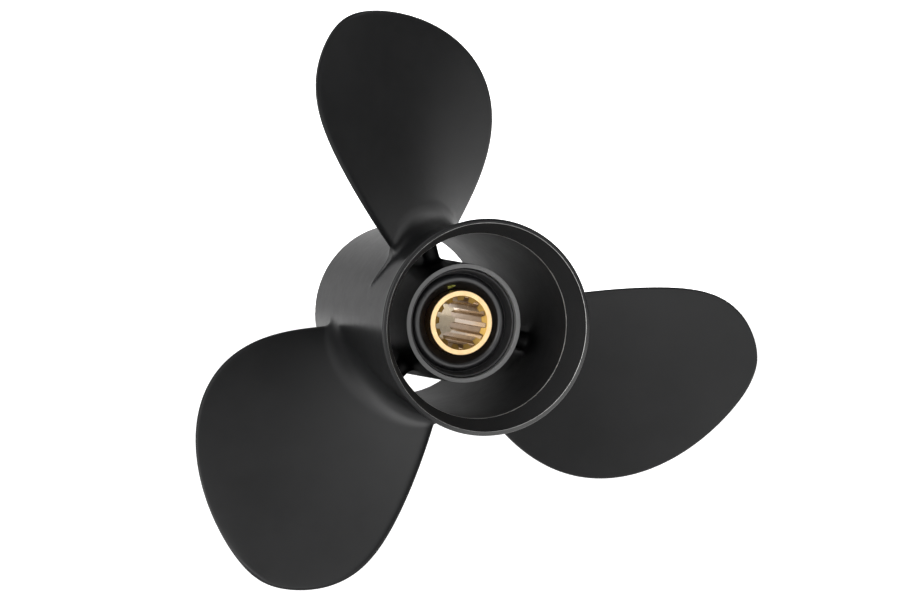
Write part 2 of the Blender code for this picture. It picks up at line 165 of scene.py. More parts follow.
# Outer barrel: rolled rim, lip band, concave flare, drafted wall, round forward edge, mouth cone
def outerBarrel():
    rise = hub["lipRadius"] - hub["aftRadius"]
    reach = hub["flareEnd"] - hub["lipWidth"]
    flareRadius = (rise ** 2 + reach ** 2) / (2 * rise)
    flareAngle = math.asin(reach / flareRadius)
    corners = [
        (hub["mouthRadius"], 0.0, hub["mouthEdge"]),
        (hub["rimRadius"], 0.0, hub["rimNose"]),
        (hub["lipRadius"], hub["lipWidth"], hub["lipEdge"]),
    ]
    # the flare's arc leaves room for the round of the lip band's edge
    for step in range(hub["flareFirst"], hub["flareSteps"] + 1):
        angle = flareAngle * (1 - step / hub["flareSteps"])
        corners.append((
            hub["aftRadius"] + flareRadius * (1 - math.cos(angle)),
            hub["flareEnd"] - flareRadius * math.sin(angle), 0,
        ))
    corners += [
        (hub["forwardRadius"], hub["length"], hub["forwardEdge"]),
        (hub["boreForward"], hub["length"], 2 * hub["boreEdge"]),
        (hub["boreAft"], hub["coneDepth"], hub["boreEdge"]),
    ]
    profile = softProfile(corners, hub["rowLength"])
    return turnedSolid("castingSurface", profile, hub["steps"], marks["outerBarrel"])


innerBarrel = {
    "aft": 33.8 * mm, "forward": 122.6 * mm, "radius": 26.15 * mm, "draft": 1.4 * mm,
    "bore": 24.15 * mm, "edge": 0.25 * mm, "steps": 144, "rowLength": 3.0 * mm,
}


def innerBarrelSolid():
    size = innerBarrel
    corners = [
        (size["bore"], size["aft"], size["edge"]),
        (size["radius"], size["aft"], size["edge"]),
        (size["radius"] + size["draft"], size["forward"], size["edge"]),
        (size["bore"], size["forward"], size["edge"]),
    ]
    profile = softProfile(corners, size["rowLength"])
    return turnedSolid("innerBarrel", profile, size["steps"], marks["innerBarrel"])


# How far a concave fillet stands off a wall at this height above the surface it runs into
def filletReach(height, fillet):
    rise = fillet - np.clip(height, 0.0, fillet)
    return fillet - np.sqrt(np.maximum(fillet ** 2 - rise ** 2, 0.0))


ribs = {
    "clock": math.radians(-14.4), "thickness": 7.6 * mm, "aft": 56.0 * mm, "forward": 119.0 * mm,
    "inner": 25.5 * mm, "outer": 39.9 * mm, "fillet": 2.6 * mm, "levels": 26, "bend": 9,
    "innerSink": 0.5 * mm, "outerSink": 0.9 * mm,
}


# Web between the barrels: a long rounded outline that widens in a fillet at both ends
def ribSolid(number):
    size = ribs
    shares = (1 - np.cos(np.linspace(0, math.pi, size["levels"]))) / 2
    clock = size["clock"] + number * turn / bladeCount
    sideways = Vector((math.cos(clock), 0, -math.sin(clock)))
    outward = Vector((math.sin(clock), 0, math.cos(clock)))
    half = size["thickness"] / 2
    rows = []
    for level in size["inner"] + (size["outer"] - size["inner"]) * shares:
        aboveInner = level - innerBarrel["radius"] - size["innerSink"]
        belowOuter = size["outer"] - size["outerSink"] - level
        widening = max(filletReach(aboveInner, size["fillet"]), filletReach(belowOuter, size["fillet"]))
        reach = half + float(widening)
        row = []
        for middle, firstAngle in ((size["aft"] + half, math.pi), (size["forward"] - half, 0.0)):
            for step in range(size["bend"] + 1):
                angle = firstAngle + math.pi * step / size["bend"]
                across = reach * math.cos(angle)
                distance = middle + reach * math.sin(angle)
                lift = math.sqrt(max(level ** 2 - across ** 2, 0.0))
                row.append(outward * lift + sideways * across + Vector((0, along(distance), 0)))
        rows.append([tuple(point) for point in row])
    return gridSolid(f"rib{number + 1}", rows, wrap=False, mark=marks["rib"])


blades = {
    "clock": math.radians(-9.8), "root": 40.7 * mm, "tip": 142.9 * mm,
    "rootHalfChord": 24.4 * mm, "chordGrowth": 59.3 * mm, "tipTrim": 32.7 * mm, "tipTrimPower": 9,
    "tipRoundStart": 2.07, "tipRoundPower": 0.48,
    "chordOffset": -0.4 * mm, "forwardSweep": 7.0 * mm, "sweepBack": 31.0 * mm, "sweepPower": 3.44,
    "pitch": 375.0 * mm, "pitchGrowth": 0.58, "midRadius": 93.0 * mm,
    "rake": 60.0 * mm, "rakeSlope": -0.175, "rakeBend": 1.15,
    "rootThickness": 10.0 * mm, "tipThickness": 2.8 * mm, "edgeThickness": 1.9 * mm,
    "thicknessFade": 0.8, "noseLength": 1.9 * mm,
    "pressureFillet": 12.5 * mm, "trailingHold": 3.4, "leadingHold": 1.8, "suctionFillet": 7.0 * mm,
    "leadingFillet": 3.6 * mm, "trailingFillet": 5.6 * mm,
    "sink": 1.1 * mm, "lift": 0.12 * mm, "filletTop": 56.0 * mm,
    "pointsAcross": 44, "filletRows": 34, "filletCrowding": 1.6, "spanRows": 62,
    "spanTurn": math.radians(89.3),    # the rows crowd towards the tip as a sine does up to this angle
}


# 0 at the blade's root and 1 at its tip
def spanShare(radius):
    return np.clip((radius - blades["root"]) / (blades["tip"] - blades["root"]), 0.0, 1.0)


def halfChord(radius):
    size = blades
    out = spanShare(radius)
    trim = size["tipTrim"] * out ** size["tipTrimPower"]
    straight = size["rootHalfChord"] + size["chordGrowth"] * out - trim
    return straight * np.maximum(1 - out ** size["tipRoundStart"], 0.0) ** size["tipRoundPower"]


def chordMiddle(radius):
    size = blades
    out = spanShare(radius)
    return size["chordOffset"] + size["forwardSweep"] * out - size["sweepBack"] * out ** size["sweepPower"]


def helixSlope(radius):
    pitch = blades["pitch"] + blades["pitchGrowth"] * (radius - blades["midRadius"])
    return np.arctan(pitch / (turn * radius))


def rakeLine(radius):
    out = radius - blades["midRadius"]
    return blades["rake"] + blades["rakeSlope"] * out + blades["rakeBend"] * out ** 2


# Half of the thickness: crowned across, thinner outward, with a round nose along the whole outline
def halfThickness(radius, place):
    size = blades
    thinning = (size["tipThickness"] - size["rootThickness"]) * spanShare(radius) ** size["thicknessFade"]
    middle = size["rootThickness"] + thinning
    full = size["edgeThickness"] + (middle - size["edgeThickness"]) * (1 - place ** 2)
    nose = np.minimum(1.0, size["noseLength"] / np.maximum(halfChord(radius), size["noseLength"]))
    intoNose = np.maximum(np.abs(place) - (1 - nose), 0.0) / nose
    intoTip = np.clip(1 - (size["tip"] - radius) / size["noseLength"], 0.0, 1.0)
    roundness = np.sqrt(np.maximum(1 - intoNose ** 2, 0.0)) * np.sqrt(np.maximum(1 - intoTip ** 2, 0.0))
    return full / 2 * roundness


# Root fillet at each place across the blade: full at mid chord and smaller at both edges
def rootFillet(place, side):
    size = blades
    edgeFillet = np.where(place < 0, size["trailingFillet"], size["leadingFillet"])
    hold = np.where(place < 0, size["trailingHold"], size["leadingHold"])
    pressure = edgeFillet + (size["pressureFillet"] - edgeFillet) * (1 - np.abs(place) ** hold)
    suction = edgeFillet + (size["suctionFillet"] - edgeFillet) * (1 - place ** 2) ** 2
    return np.where(side < 0, pressure, suction)


# One ring of the blade's loft. Near the root the ring follows the hub's tapering surface.
# place runs from -1 at the trailing edge to 1 at the leading edge, and side is -1 on the pressure side
def bladeRing(level, place, side):
    size = blades
    arcPlace = chordMiddle(level) + place * halfChord(level)
    roughDistance = arcPlace * np.tan(helixSlope(level)) + rakeLine(level)
    follow = np.clip((size["filletTop"] - level) / (size["filletTop"] - size["root"]), 0.0, 1.0)
    radius = level + (hubRadius(roughDistance) - size["root"]) * follow
    slope = helixSlope(radius)
    arcPlace = chordMiddle(radius) + place * halfChord(radius)
    offset = side * halfThickness(radius, place)
    across = arcPlace - offset * np.sin(slope)
    distance = arcPlace * np.tan(slope) + rakeLine(radius) + offset * np.cos(slope)
    tangent = np.stack([np.roll(line, -1) - np.roll(line, 1) for line in (across, distance)])
    tangent = tangent / np.maximum(np.linalg.norm(tangent, axis=0), 1e-9)
    reach = filletReach(radius - hubRadius(distance) + size["lift"], rootFillet(place, side))
    across = across - tangent[1] * reach
    distance = distance + tangent[0] * reach
    angle = across / radius
    return np.stack([radius * np.sin(angle), along(distance), radius * np.cos(angle)], axis=-1)


def bladeSolid(number):
    size = blades
    steps = np.arange(size["pointsAcross"])
    leadingToTrailing = np.cos(math.pi * steps / size["pointsAcross"])
    place = np.concatenate([leadingToTrailing, -leadingToTrailing])
    side = np.concatenate([-np.ones(len(steps)), np.ones(len(steps))])
    side[0] = side[len(steps)] = 0
    low, high = size["root"] - size["sink"], size["filletTop"]
    shares = np.arange(size["filletRows"]) / size["filletRows"]
    rootLevels = low + (high - low) * shares ** size["filletCrowding"]
    angles = size["spanTurn"] * np.arange(size["spanRows"] + 1) / size["spanRows"]
    spanLevels = high + (size["tip"] - high) * np.sin(angles)
    rows = [bladeRing(level, place, side) for level in np.concatenate([rootLevels, spanLevels])]
    piece = gridSolid(f"blade{number + 1}", rows, wrap=False, mark=marks["blade"])
    piece.rotation_euler.y = size["clock"] + number * turn / bladeCount
    return piece


ridges = {
    "startAngle": math.radians(-34.6), "endAngle": math.radians(-59.0),
    "start": 38.6 * mm, "end": 48.9 * mm, "curve": 2.3, "overlap": -0.06,
    "rootHeight": 3.4 * mm, "rootFade": 6, "height": 1.0 * mm, "sinkAtEnd": 0.3 * mm, "sinkPower": 5,
    "width": 1.9 * mm, "narrowing": 3, "crown": 0.7, "base": 1.0 * mm, "rows": 56, "bend": 12,
}


# Ridge on the mould's parting line: the trailing edge runs down into it, and it sinks into the hub
def ridgeSolid(number):
    size = ridges
    turned, moved = size["endAngle"] - size["startAngle"], size["end"] - size["start"]
    run = Vector((turned * hub["aftRadius"], moved))
    across = Vector((-run.y, run.x)).normalized()
    rows = []
    for index in range(size["rows"] + 1):
        share = size["overlap"] + (1 - size["overlap"]) * index / size["rows"]
        distance = size["start"] + moved * max(share, 0) ** size["curve"]
        angle = size["startAngle"] + turned * share
        fade = max(share, 0) ** size["sinkPower"]
        height = size["rootHeight"] * (1 - share) ** size["rootFade"]
        height += size["height"] * (1 - fade) - size["sinkAtEnd"] * fade
        halfWidth = size["width"] / 2 * (1 - max(share, 0) / size["narrowing"])
        row = []
        for step in range(size["bend"] + 1):
            arch = math.pi * step / size["bend"]
            up = (height + size["base"]) * math.sin(arch) ** size["crown"] - size["base"]
            offset = across * (-math.cos(arch) * halfWidth)
            radius = hubRadius(distance) + up
            spin = angle + offset.x / radius
            row.append((radius * math.sin(spin), along(distance + offset.y), radius * math.cos(spin)))
        low, high = Vector(row[0]), Vector(row[-1])
        row += [tuple(low.lerp(high, step / size["bend"])) for step in range(size["bend"] - 1, 0, -1)]
        rows.append(row)
    piece = gridSolid(f"ridge{number + 1}", rows, wrap=False, mark=marks["ridge"])
    piece.rotation_euler.y = blades["clock"] + number * turn / bladeCount
    return piece


# Joins or cuts solids and keeps the result as plain mesh data on the first one
def combine(piece, tools, operation="UNION"):
    for tool in tools:
        change = piece.modifiers.new(tool.name, "BOOLEAN")
        change.operation = operation
        change.object = tool
        change.solver = "EXACT"
    bpy.context.view_layer.update()
    result = bpy.data.meshes.new_from_object(piece.evaluated_get(bpy.context.evaluated_depsgraph_get()))
    piece.modifiers.clear()
    piece.data = result
    for tool in tools:
        bpy.data.objects.remove(tool)


# How far each mark's seams are softened; where two marks meet, the higher one counts
seams = {
    "reach": {
        marks["innerBarrel"]: 0.6 * mm, marks["rib"]: 1.1 * mm, marks["blade"]: 1.1 * mm,
        marks["ridge"]: 0.5 * mm,
    },
    "rounds": 7, "pull": 0.6, "pullFade": 0.7, "weld": 0.02 * mm, "sliver": 0.01 * mm,
}


# Blends the seams where solids were joined: points near a seam move towards their neighbours' middle
def softenSeams(piece):
    form = bmesh.new()
    form.from_mesh(piece.data)
    bmesh.ops.remove_doubles(form, verts=form.verts, dist=seams["weld"])
    bmesh.ops.dissolve_degenerate(form, edges=form.edges, dist=seams["sliver"])
    bmesh.ops.triangulate(form, faces=form.faces)
    layer = form.faces.layers.int["mark"]
    seam = [vert for vert in form.verts if len({face[layer] for face in vert.link_faces}) > 1]
    seamReach = [seams["reach"][max(face[layer] for face in vert.link_faces)] for vert in seam]
    tree = KDTree(len(seam))
    for index, vert in enumerate(seam):
        tree.insert(vert.co, index)
    tree.balance()
    moving = []
    for vert in form.verts:
        _place, index, gap = tree.find(vert.co)
        if gap < seamReach[index]:
            moving.append((vert, seams["pull"] * (1 - gap / seamReach[index]) ** seams["pullFade"]))
    for _ in range(seams["rounds"]):
        places = []
        for vert, weight in moving:
            around = [edge.other_vert(vert).co for edge in vert.link_edges]
            places.append(vert.co.lerp(sum(around, Vector()) / len(around), weight))
        for (vert, _weight), place in zip(moving, places):
            vert.co = place
    bmesh.ops.recalc_face_normals(form, faces=form.faces)
    form.to_mesh(piece.data)
    form.free()
    print("  seam points", len(seam), "moved points", len(moving))


def makeCasting():
    casting = outerBarrel()
    solids = [innerBarrelSolid()]
    for maker in (ribSolid, bladeSolid, ridgeSolid):
        solids += [maker(number) for number in range(bladeCount)]
    combine(casting, solids)
    softenSeams(casting)
    casting.data.shade_smooth()
    print("casting:", len(casting.data.polygons), "faces")
    return casting


# The aft face from the sleeve outward: a slope, a round bead, a groove and a rounded outer lip
bush = {
    "inner": 14.57 * mm, "root": 44.6 * mm, "slopeRadius": 15.6 * mm, "slopeAft": 43.5 * mm,
    "beadRadius": 19.2 * mm, "beadRound": 2.1 * mm, "beadAft": 40.1 * mm, "beadSweep": math.radians(70.0),
    "grooveRadius": 21.9 * mm, "grooveAft": 43.0 * mm,
    "outer": 23.95 * mm, "lipRound": 0.6 * mm, "lipAft": 36.0 * mm,
    "forward": 117.2 * mm, "forwardRelief": 0.4, "bend": 16, "cornerCuts": 3, "rowLength": 3.0 * mm,
    "steps": 180, "flashClocks": (math.radians(125.0), math.radians(305.0)),
    "flashWidth": 0.35 * mm, "flashHeight": 0.2 * mm,
}


# Rounds a chain of points by cutting its corners a few times
def rounded(chain, rounds):
    for _ in range(rounds):
        cut = [chain[0]]
        for first, second in zip(chain, chain[1:]):
            cut += [first.lerp(second, 0.25), first.lerp(second, 0.75)]
        chain = cut + [chain[-1]]
    return chain


# Arc in the (radius, distance) plane: an angle of 0 points outward and -90 degrees points aft
def faceArc(centre, radius, first, last, steps):
    centre = Vector(centre)
    angles = [first + (last - first) * step / steps for step in range(steps + 1)]
    return [centre + Vector((math.cos(angle), math.sin(angle))) * radius for angle in angles]


def bushAftFace():
    size = bush
    aftward, sweep = -turn / 4, size["beadSweep"]
    beadCentre = (size["beadRadius"], size["beadAft"] + size["beadRound"])
    lipCentre = (size["outer"] - size["lipRound"], size["lipAft"] + size["lipRound"])
    face = [Vector((size["inner"], size["root"])), Vector((size["slopeRadius"], size["slopeAft"]))]
    face += faceArc(beadCentre, size["beadRound"], aftward - sweep, aftward + sweep, size["bend"])
    face += [Vector((size["grooveRadius"], size["grooveAft"]))]
    face += faceArc(lipCentre, size["lipRound"], -turn / 2, 0, size["bend"] // 2)
    return rounded(face, size["cornerCuts"])


# Flash left at the mould's parting line, across the aft bead
def raiseFlash(mesh):
    for vert in mesh.vertices:
        radius = math.hypot(vert.co.x, vert.co.z)
        clock = math.atan2(vert.co.x, vert.co.z)
        offBead = abs(radius - bush["beadRadius"]) / bush["beadRound"]
        if vert.co.y < along(bush["root"]) and offBead < 1:
            for flashClock in bush["flashClocks"]:
                gap = (clock - flashClock + math.pi) % turn - math.pi
                rise = math.exp(-(gap * radius / bush["flashWidth"]) ** 2)
                vert.co.y -= bush["flashHeight"] * (1 - offBead ** 2) * rise


def makeBush():
    size = bush
    face = bushAftFace()
    turnedOver = [Vector((point.x, size["forward"] + size["forwardRelief"] * (size["root"] - point.y)))
                  for point in reversed(face)]
    profile = []
    for run, follow in ((face, turnedOver[0]), (turnedOver, face[0])):
        pieces = math.ceil((follow - run[-1]).length / size["rowLength"])
        profile += run + [run[-1].lerp(follow, step / pieces) for step in range(1, pieces)]
    piece = turnedSolid("bushSurface", profile, size["steps"])
    raiseFlash(piece.data)
    piece.data.shade_smooth()
    return piece


sleeve = {
    "radius": 14.27 * mm, "aft": 37.4 * mm, "outerEdge": 0.3 * mm, "innerEdge": 0.2 * mm,
    "mouth": 11.95 * mm, "mouthDepth": 1.5 * mm, "toothEdge": 0.15 * mm,
    "teeth": 13, "major": 11.65 * mm, "minor": 9.75 * mm, "gapAtMajor": 0.34, "gapAtMinor": 0.62,
    "splineEnd": 83.5 * mm, "runOut": 1.4 * mm, "relief": 11.85 * mm,
    "seatRadius": 12.2 * mm, "seatDepth": 3.2 * mm, "steps": 156, "rowLength": 3.0 * mm,
    "flankSteps": 8, "sharpAngle": math.radians(32),
    "broachCore": 0.6 * mm, "broachLead": 2.0 * mm, "broachOverrun": 0.5 * mm,
}


# The broach: a bar whose teeth leave the splines between them
def broachSolid():
    size = sleeve
    tooth = turn / size["teeth"]
    core = size["minor"] - size["broachCore"]
    crestShare = size["gapAtMajor"] / size["gapAtMinor"]
    end = size["splineEnd"] + size["runOut"] + size["broachOverrun"]
    rows = []
    for distance in (size["aft"] - size["broachLead"], end):
        row = []
        for index in range(size["teeth"]):
            for step in range(-size["flankSteps"], size["flankSteps"] + 1):
                share = step / size["flankSteps"]
                flank = min(1.0, (1 - abs(share)) / (1 - crestShare))
                radius = core + (size["major"] - core) * flank * flank * (3 - 2 * flank)
                angle = (index + 0.5 + share * size["gapAtMinor"] / 2) * tooth
                row.append((radius * math.sin(angle), along(distance), radius * math.cos(angle)))
        rows.append(row)
    return gridSolid("broach", rows, wrap=False)


def makeSleeve():
    size = sleeve
    end = rimToOrigin
    corners = [
        (size["mouth"], size["aft"], size["innerEdge"]),
        (size["radius"], size["aft"], size["outerEdge"]),
        (size["radius"], end, size["outerEdge"]),
        (size["seatRadius"], end, size["innerEdge"]),
        (size["relief"], end - size["seatDepth"], size["innerEdge"]),
        (size["relief"], size["splineEnd"] + size["runOut"], 0),
        (size["minor"], size["splineEnd"], 0),
        (size["minor"], size["aft"] + size["mouthDepth"], size["toothEdge"]),
    ]
    piece = turnedSolid("sleeveSurface", softProfile(corners, size["rowLength"]), size["steps"])
    combine(piece, [broachSolid()], "DIFFERENCE")
    piece.data.set_sharp_from_angle(angle=size["sharpAngle"])
    print("sleeve:", len(piece.data.polygons), "faces")
    return piece


# Dab of marker paint on the bush's slope. Its outline wobbles in lobes of (count, depth, start)
dab = {
    "clock": math.radians(-11.0), "radius": 15.9 * mm, "wide": 1.7 * mm, "tall": 0.8 * mm,
    "height": 0.1 * mm, "sink": 0.25 * mm, "lobes": ((3, 0.16, 0.7), (5, 0.09, 0.0)),
    "leanX": 0.3, "leanZ": 0.35, "rings": 7, "steps": 28,
}


# Distance of the bush's aft face at this radius
def bushFaceAt(radius):
    inward = [point for point in bushAftFace() if point.x < bush["beadRadius"]]
    return float(np.interp(radius, [point.x for point in inward], [point.y for point in inward]))


def makeDab():
    middleX = dab["radius"] * math.sin(dab["clock"])
    middleZ = dab["radius"] * math.cos(dab["clock"])
    rows = []
    for top in (True, False):
        for ring in range(dab["rings"] + 1):
            share = ring / dab["rings"] if top else 1 - ring / dab["rings"]
            rise = dab["height"] * (1 - share ** 3) if top else -dab["sink"]
            row = []
            for step in range(dab["steps"]):
                angle = turn * step / dab["steps"]
                lobes = [deep * math.sin(count * angle + start) for count, deep, start in dab["lobes"]]
                outline = 1 + sum(lobes)
                side, up = math.cos(angle), math.sin(angle)
                x = middleX + share * (dab["wide"] * outline * side + dab["leanX"] * dab["tall"] * up)
                z = middleZ + share * dab["tall"] * (outline * up + dab["leanZ"] * side)
                row.append((x, along(bushFaceAt(math.hypot(x, z))) - rise, z))
            rows.append(row)
    piece = gridSolid("paintDab", rows[1:-1], wrap=False)
    piece.data.shade_smooth()
    return piece


# Small builder for one material's nodes: returns the material, its shader, a node maker and a linker
def startMaterial(name):
    material = bpy.data.materials.new(name)
    material.use_nodes = True
    tree = material.node_tree
    shader = tree.nodes["Principled BSDF"]

    def node(kind, inputs=None, **settings):
        made = tree.nodes.new("ShaderNode" + kind)
        for key, value in settings.items():
            setattr(made, key, value)
        for key, value in (inputs or {}).items():
            if isinstance(value, bpy.types.NodeSocket):
                tree.links.new(value, made.inputs[key])
            else:
                made.inputs[key].default_value = value
        return made

    def wire(output, key):
        tree.links.new(output, shader.inputs[key])

    return material, shader, node, wire


def colourMix(node, factor, first, second):
    mix = node("Mix", {"Factor": factor}, data_type="RGBA")
    for key, value in (("A", first), ("B", second)):
        socket = [s for s in mix.inputs if s.name == key and s.type == "RGBA"][0]
        if isinstance(value, bpy.types.NodeSocket):
            mix.id_data.links.new(value, socket)
        else:
            socket.default_value = (*value, 1)
    return [s for s in mix.outputs if s.type == "RGBA"][0]


def valueMix(node, factor, first, second):
    return node("Mix", {"Factor": factor, "A": first, "B": second}).outputs["Result"]


def mathNode(node, operation, first, second):
    return node("Math", {0: first, 1: second}, operation=operation).outputs["Value"]


def times(node, first, second):
    return mathNode(node, "MULTIPLY", first, second)


def larger(node, first, second):
    return mathNode(node, "MAXIMUM", first, second)


# The base with the value times the factor added to it
def scaledOnto(node, value, factor, base):
    return node("Math", {0: value, 1: factor, 2: base}, operation="MULTIPLY_ADD").outputs["Value"]


# A finish's noise is (scale, detail, roughness), and a range is what part of the noise it is read over
def noise(node, position, scale, detail, roughness=0.5):
    inputs = {"Vector": position, "Scale": scale, "Detail": detail, "Roughness": roughness}
    return node("TexNoise", inputs).outputs["Fac"]


# Smooth step of a value between two limits
def spread(node, value, low, high, toLow=0.0, toHigh=1.0):
    limits = {"Value": value, "From Min": low, "From Max": high, "To Min": toLow, "To Max": toHigh}
    return node("MapRange", limits, interpolation_type="SMOOTHSTEP").outputs["Result"]


# Smooth steps up and down between two offsets from an edge
def risePast(node, value, edge, offsets):
    return spread(node, value, edge + offsets[0], edge + offsets[1])


def fallPast(node, value, edge, offsets):
    return spread(node, value, edge + offsets[0], edge + offsets[1], 1.0, 0.0)


# Radius from the shaft's axis and distance from the aft rim, as node outputs in metres
def shaftPlace(node):
    position = node("TexCoord").outputs["Object"]
    split = node("SeparateXYZ", {"Vector": position})
    flat = node("CombineXYZ", {"X": split.outputs["X"], "Z": split.outputs["Z"]})
    radius = node("VectorMath", {0: flat.outputs["Vector"]}, operation="LENGTH").outputs["Value"]
    distance = mathNode(node, "ADD", split.outputs["Y"], rimToOrigin)
    return position, radius, distance


# 1 inside a band of values and 0 outside, with soft ends
def band(node, value, low, high, soft):
    rising = risePast(node, value, low, (-soft, soft))
    falling = fallPast(node, value, high, (-soft, soft))
    return times(node, rising, falling)


# An edge mark, partly rubbed-through wear and partly painted highlight, reaches between these shares of its
# full reach, as the noise goes through its range
wearAndHighlight = {"noise": (0.25, 0.75), "least": 0.5, "most": 1.3, "soft": 0.12}


# 1 on a turned edge given as (radius, distance), fading out over this reach, broken up by the noise
def wornAndHighlitEdge(node, radius, distance, edge, reach, patch):
    across = mathNode(node, "SUBTRACT", radius, edge[0])
    deep = mathNode(node, "SUBTRACT", distance, edge[1])
    offset = node("CombineXYZ", {"X": across, "Y": deep}).outputs["Vector"]
    gap = node("VectorMath", {0: offset}, operation="LENGTH").outputs["Value"]
    limit = node("MapRange", {
        "Value": patch, "From Min": wearAndHighlight["noise"][0], "From Max": wearAndHighlight["noise"][1],
        "To Min": wearAndHighlight["least"] * reach, "To Max": wearAndHighlight["most"] * reach,
    }).outputs["Result"]
    inside = mathNode(node, "SUBTRACT", limit, gap)
    return spread(node, inside, -wearAndHighlight["soft"] * reach, wearAndHighlight["soft"] * reach)


# Rubbed edges are ((radius, distance), reach): bare metal that is partly wear and partly a painted
# highlight line. Pairs of lengths are offsets from the edge they belong to
paint = {
    "dark": (0.0048, 0.0049, 0.0053), "light": (0.0082, 0.0083, 0.0088),
    "cloudNoise": (26, 4, 0.55), "cloudRange": (0.3, 0.7),
    "roughness": 0.34, "roughnessSpread": 0.04, "patchNoise": (210, 5, 0.6), "patchRange": (0.25, 0.75),
    "shine": 0.33, "peelNoise": (520, 3), "peel": 0.02, "peelDepth": 0.1 * mm,
    "grainNoise": (2600, 2), "grain": 0.04, "grainDepth": 0.02 * mm,
    "endGrey": (0.21, 0.21, 0.21), "endOffsets": (0.1 * mm, -0.05 * mm), "endSoft": 0.1 * mm,
    "endDepth": (0.05 * mm, 0.35 * mm), "boreOffsets": (0.1 * mm, 0.3 * mm),
    "bareMetalHighlight": (0.55, 0.55, 0.54),
    "rubbedAndHighlit": [((44.82 * mm, 0.05 * mm), 0.1 * mm), ((40.02 * mm, 12.75 * mm), 0.4 * mm)],
    # the rim's face low on one side is painted lighter: a painted highlight
    "rimHighlight": ((45.7 * mm, 0.0), 1.1 * mm), "rimHighlightClock": math.radians(150.0),
    "rimHighlightSides": (0.3, 0.9), "rimHighlightStrength": 0.12,
    "insideRoughness": 0.17, "insideSoft": 0.25 * mm, "insideOffsets": (0.6 * mm, 0.05 * mm),
    "coneRoughness": 0.25, "coneSlope": 0.35, "coneOffsets": (-0.3 * mm, 0.0),
}


# How bare the metal is, with painted highlight in it: the mouth's edge is partly rubbed through and partly
# a painted highlight line, the step inside it is a painted highlight line, and the rim's own face is
# painted lighter low on one side as a painted highlight
def bareAndHighlitEdges(node, position, radius, distance, patch):
    mouth, step = [wornAndHighlitEdge(node, radius, distance, edge, reach, patch)
                   for edge, reach in paint["rubbedAndHighlit"]]
    # painted highlight: the rim's face is painted lighter on the side where the light falls
    edge, reach = paint["rimHighlight"]
    clock = paint["rimHighlightClock"]
    litSide = (math.sin(clock) / edge[0], 0, math.cos(clock) / edge[0])
    facing = node("VectorMath", {0: position, 1: litSide}, operation="DOT_PRODUCT").outputs["Value"]
    rimSheen = times(node, spread(node, facing, *paint["rimHighlightSides"]), paint["rimHighlightStrength"])
    rimSheen = times(node, wornAndHighlitEdge(node, radius, distance, edge, reach, patch), rimSheen)
    return larger(node, larger(node, mouth, step), rimSheen)


def satinPaint():
    material, shader, node, wire = startMaterial("satinBlackPaint")
    position, radius, distance = shaftPlace(node)
    cloud = noise(node, position, *paint["cloudNoise"])
    patch = noise(node, position, *paint["patchNoise"])
    peel = noise(node, position, *paint["peelNoise"])
    grain = noise(node, position, *paint["grainNoise"])
    tone = colourMix(node, spread(node, cloud, *paint["cloudRange"]), paint["dark"], paint["light"])
    # the inner barrel's machined end face and bore show grey through thin paint
    inner, outer = paint["endOffsets"]
    ring = band(node, radius, innerBarrel["bore"] + inner, innerBarrel["radius"] + outer, paint["endSoft"])
    face = times(node, ring, fallPast(node, distance, innerBarrel["aft"], paint["endDepth"]))
    bore = fallPast(node, radius, innerBarrel["bore"], paint["boreOffsets"])
    tone = colourMix(node, larger(node, face, bore), tone, paint["endGrey"])
    # bare metal along the edges, partly wear and partly painted highlight, made lighter and metallic
    bareAndHighlit = bareAndHighlitEdges(node, position, radius, distance, patch)
    wire(colourMix(node, bareAndHighlit, tone, paint["bareMetalHighlight"]), "Base Color")
    wire(bareAndHighlit, "Metallic")
    # inside the barrel and on the mouth cone the paint is duller; the cone's depth is counted as radius
    slope = paint["coneSlope"]
    coneRadius = scaledOnto(node, mathNode(node, "MINIMUM", distance, hub["coneDepth"]), slope, radius)
    aboveBarrel, belowMouth = paint["insideOffsets"]
    inside = band(node, coneRadius, innerBarrel["radius"] + slope * hub["coneDepth"] + aboveBarrel,
                  hub["mouthRadius"] + belowMouth, paint["insideSoft"])
    patchy = spread(node, patch, *paint["patchRange"], -0.5, 0.5)
    rough = scaledOnto(node, patchy, paint["roughnessSpread"], paint["roughness"])
    rough = scaledOnto(node, inside, paint["insideRoughness"], rough)
    cone = fallPast(node, distance, hub["coneDepth"], paint["coneOffsets"])
    wire(scaledOnto(node, inside, times(node, cone, paint["coneRoughness"]), rough), "Roughness")
    shader.inputs["Specular IOR Level"].default_value = paint["shine"]
    coarse = node("Bump", {"Height": peel, "Strength": paint["peel"], "Distance": paint["peelDepth"]})
    fine = node("Bump", {
        "Height": grain, "Strength": paint["grain"], "Distance": paint["grainDepth"],
        "Normal": coarse.outputs["Normal"],
    })
    wire(fine.outputs["Normal"], "Normal")
    return material


rubberFinish = {
    "dark": (0.007, 0.007, 0.008), "light": (0.016, 0.016, 0.018),
    "bloomNoise": (160, 5, 0.65), "bloomRange": (0.3, 0.75),
    "roughness": 0.28, "roughnessSpread": 0.16, "lipRoughness": 0.3, "lipOffset": 0.4 * mm,
    "shine": 1.0, "grainNoise": (1900, 3), "grain": 0.18, "grainDepth": 0.03 * mm,
}


def bushRubber():
    finish = rubberFinish
    material, shader, node, wire = startMaterial("bushRubber")
    position, radius, _distance = shaftPlace(node)
    bloom = noise(node, position, *finish["bloomNoise"])
    grain = noise(node, position, *finish["grainNoise"])
    tone = colourMix(node, spread(node, bloom, *finish["bloomRange"]), finish["dark"], finish["light"])
    wire(tone, "Base Color")
    rough = scaledOnto(node, bloom, finish["roughnessSpread"], finish["roughness"])
    # the lip against the barrel is duller
    groove, offset = bush["grooveRadius"], finish["lipOffset"]
    lip = spread(node, radius, groove - offset, groove + offset, 0.0, finish["lipRoughness"])
    wire(mathNode(node, "ADD", rough, lip), "Roughness")
    shader.inputs["Specular IOR Level"].default_value = finish["shine"]
    bump = node("Bump", {"Height": grain, "Strength": finish["grain"], "Distance": finish["grainDepth"]})
    wire(bump.outputs["Normal"], "Normal")
    return material


